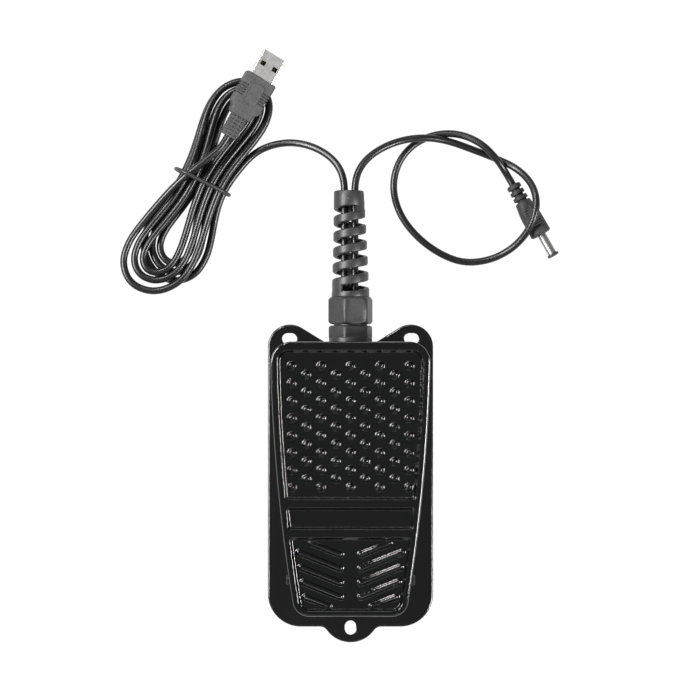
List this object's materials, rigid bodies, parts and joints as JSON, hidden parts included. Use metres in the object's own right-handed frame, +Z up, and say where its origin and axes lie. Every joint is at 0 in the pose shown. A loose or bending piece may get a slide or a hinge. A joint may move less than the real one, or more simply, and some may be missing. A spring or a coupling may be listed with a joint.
{
  "type": "foot pedal",
  "caption": "Foot pedal switch: a hinged pressed tread over a slotted base plate, with a spiral cable gland, a tied cord to a USB plug and a short cord to a barrel plug.",
  "frame": {"origin": "centre of the base plate's length and width, on the floor under its pad", "axes": "+Z up from the floor, +Y from the heel to the toe end where the cords leave, +X to the right of a foot on the pedal"},
  "size_m": [0.2113, 0.2855, 0.0416],
  "materials": {
    "tread_enamel": "gloss black baked enamel",
    "plate_enamel": "fine textured matte black coating",
    "chassis_enamel": "satin black coating",
    "rubber_black": "matte moulded",
    "zinc_steel": "zinc plated",
    "spring_steel": "drawn wire and hard strip",
    "gland_nylon": "satin moulded nylon",
    "switch_plastic": "matte moulded",
    "cord_pvc": "semi-gloss extruded jacket",
    "overmould": "fine grained moulding",
    "tie_plastic": "thin coated wire",
    "plug_nickel": "nickel plated",
    "contact_gold": "gold plated",
    "tongue_plastic": "moulded insulator"
  },
  "bodies": {
    "base": {"base_plate": "plate_enamel", "underside_pad": "rubber_black", "chassis": "chassis_enamel", "chassis_rivets": "zinc_steel", "hinge_pin": "zinc_steel", "toe_stops": "rubber_black", "heel_stop": "rubber_black", "spring_seats": "zinc_steel", "return_springs": "spring_steel", "switch_case": "switch_plastic", "lever_pin": "zinc_steel", "switch_terminals": "plug_nickel", "switch_bracket": "zinc_steel", "switch_screws": "zinc_steel", "gland_washer": "rubber_black", "gland_body": "gland_nylon", "gland_locknut": "gland_nylon", "gland_seal": "rubber_black", "gland_nut": "gland_nylon", "usb_inner_lead": "cord_pvc", "dc_inner_lead": "cord_pvc", "cable_clamp": "zinc_steel", "clamp_screws": "zinc_steel", "switch_wires": "cord_pvc", "usb_cord": "cord_pvc", "usb_hank": "cord_pvc", "usb_cord_end": "cord_pvc", "hank_tie": "tie_plastic", "usb_strain_relief": "overmould", "usb_plug_body": "overmould", "usb_plug_shell": "plug_nickel", "usb_plug_tongue": "tongue_plastic", "usb_plug_contacts": "contact_gold", "dc_cord": "cord_pvc", "dc_plug_body": "overmould", "dc_plug_barrel": "plug_nickel", "dc_plug_tip": "overmould"},
    "pedal": {"pedal_tread": "tread_enamel", "hinge_bushes": "gland_nylon", "spring_caps": "zinc_steel", "actuator_boss": "zinc_steel", "actuator_screw": "zinc_steel", "actuator_locknut": "zinc_steel"},
    "switch_lever": {"switch_lever": "spring_steel"},
    "switch_plunger": {"switch_plunger": "switch_plastic"}
  },
  "joints": [
    {"name": "pedal_hinge", "type": "hinge", "parent": "base", "child": "pedal", "pos_m": [0, -0.0453, 0.014], "axis": [-1, 0, 0], "range_deg": [0, 6], "stiffness_Nm_per_rad": 7.6, "springref_deg": -6.02, "deforming": ["return_springs"]},
    {"name": "lever_hinge", "type": "hinge", "parent": "base", "child": "switch_lever", "pos_m": [0, -0.0363, 0.0191], "axis": [-1, 0, 0], "range_deg": [0, 8.8]},
    {"name": "plunger_slide", "type": "slide", "parent": "base", "child": "switch_plunger", "axis": [0, 0, -1], "range_m": [0, 0.0008]}
  ],
  "couplings": [
    {"joint": "lever_hinge", "follows": "pedal_hinge", "ratio": 1.45},
    {"joint": "plunger_slide", "follows": "pedal_hinge", "m_per_rad": 0.0073}
  ]
}
